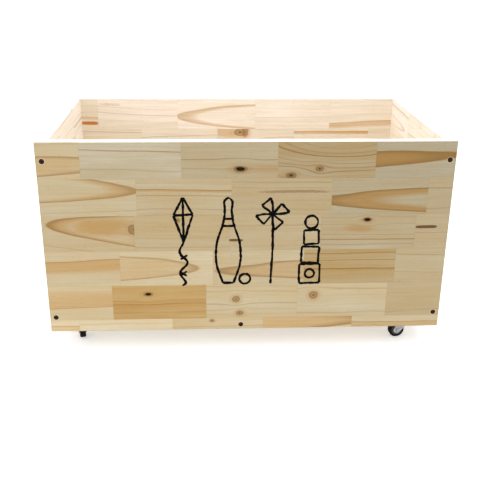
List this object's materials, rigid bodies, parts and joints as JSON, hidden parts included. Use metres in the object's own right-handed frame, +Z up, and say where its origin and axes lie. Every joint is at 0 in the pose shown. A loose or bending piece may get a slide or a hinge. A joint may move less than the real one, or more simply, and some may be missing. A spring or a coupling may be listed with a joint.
{
  "type": "wooden toy box",
  "caption": "Open-topped pine toy box of finger-jointed boards, screwed together, standing on small swivel casters.",
  "frame": {"origin": "on the floor, under the middle of the box's footprint", "axes": "+Z up, +X along the width to the right seen from the front, the front face looks along -Y"},
  "size_m": [0.6, 0.35, 0.328],
  "materials": {
    "pine": "sanded, with a thin clear matt finish",
    "black_finish": "matt black phosphate",
    "zinc_plate": "bright zinc plate",
    "ball_steel": "polished",
    "hub_plastic": "moulded, satin",
    "tyre_rubber": "matt solid rubber"
  },
  "bodies": {
    "box": {"bottom_panel": "pine", "front_left_kingpin": "zinc_plate", "front_left_plate": "zinc_plate", "front_left_plate_screws": "zinc_plate", "front_panel": "pine", "front_right_kingpin": "zinc_plate", "front_right_plate": "zinc_plate", "front_right_plate_screws": "zinc_plate", "front_screws": "black_finish", "left_panel": "pine", "left_screws": "black_finish", "rear_left_kingpin": "zinc_plate", "rear_left_plate": "zinc_plate", "rear_left_plate_screws": "zinc_plate", "rear_panel": "pine", "rear_right_kingpin": "zinc_plate", "rear_right_plate": "zinc_plate", "rear_right_plate_screws": "zinc_plate", "rear_screws": "black_finish", "right_panel": "pine", "right_screws": "black_finish"},
    "front_left_swivel": {"front_left_axle": "zinc_plate", "front_left_balls": "ball_steel", "front_left_fork": "zinc_plate"},
    "front_left_wheel": {"front_left_tyre": "tyre_rubber", "front_left_wheel_hub": "hub_plastic"},
    "front_right_swivel": {"front_right_axle": "zinc_plate", "front_right_balls": "ball_steel", "front_right_fork": "zinc_plate"},
    "front_right_wheel": {"front_right_tyre": "tyre_rubber", "front_right_wheel_hub": "hub_plastic"},
    "rear_left_swivel": {"rear_left_axle": "zinc_plate", "rear_left_balls": "ball_steel", "rear_left_fork": "zinc_plate"},
    "rear_left_wheel": {"rear_left_tyre": "tyre_rubber", "rear_left_wheel_hub": "hub_plastic"},
    "rear_right_swivel": {"rear_right_axle": "zinc_plate", "rear_right_balls": "ball_steel", "rear_right_fork": "zinc_plate"},
    "rear_right_wheel": {"rear_right_tyre": "tyre_rubber", "rear_right_wheel_hub": "hub_plastic"}
  },
  "joints": [
    {"name": "front_left_swivel", "type": "hinge", "parent": "box", "child": "front_left_swivel", "pos_m": [-0.258, -0.1395, 0.034], "axis": [0, 0, 1], "continuous": true},
    {"name": "front_left_roll", "type": "hinge", "parent": "front_left_swivel", "child": "front_left_wheel", "pos_m": [-0.26146, -0.12593, 0.0125], "axis": [0.969, 0.247, 0], "continuous": true},
    {"name": "front_right_swivel", "type": "hinge", "parent": "box", "child": "front_right_swivel", "pos_m": [0.258, -0.1395, 0.034], "axis": [0, 0, 1], "continuous": true},
    {"name": "front_right_roll", "type": "hinge", "parent": "front_right_swivel", "child": "front_right_wheel", "pos_m": [0.24409, -0.14108, 0.0125], "axis": [-0.1132, 0.9936, 0], "continuous": true},
    {"name": "rear_left_swivel", "type": "hinge", "parent": "box", "child": "rear_left_swivel", "pos_m": [-0.258, 0.1395, 0.034], "axis": [0, 0, 1], "continuous": true},
    {"name": "rear_left_roll", "type": "hinge", "parent": "rear_left_swivel", "child": "rear_left_wheel", "pos_m": [-0.25143, 0.15186, 0.0125], "axis": [0.8829, -0.4695, 0], "continuous": true},
    {"name": "rear_right_swivel", "type": "hinge", "parent": "box", "child": "rear_right_swivel", "pos_m": [0.258, 0.1395, 0.034], "axis": [0, 0, 1], "continuous": true},
    {"name": "rear_right_roll", "type": "hinge", "parent": "rear_right_swivel", "child": "rear_right_wheel", "pos_m": [0.24938, 0.15053, 0.0125], "axis": [0.788, 0.6157, 0], "continuous": true}
  ]
}
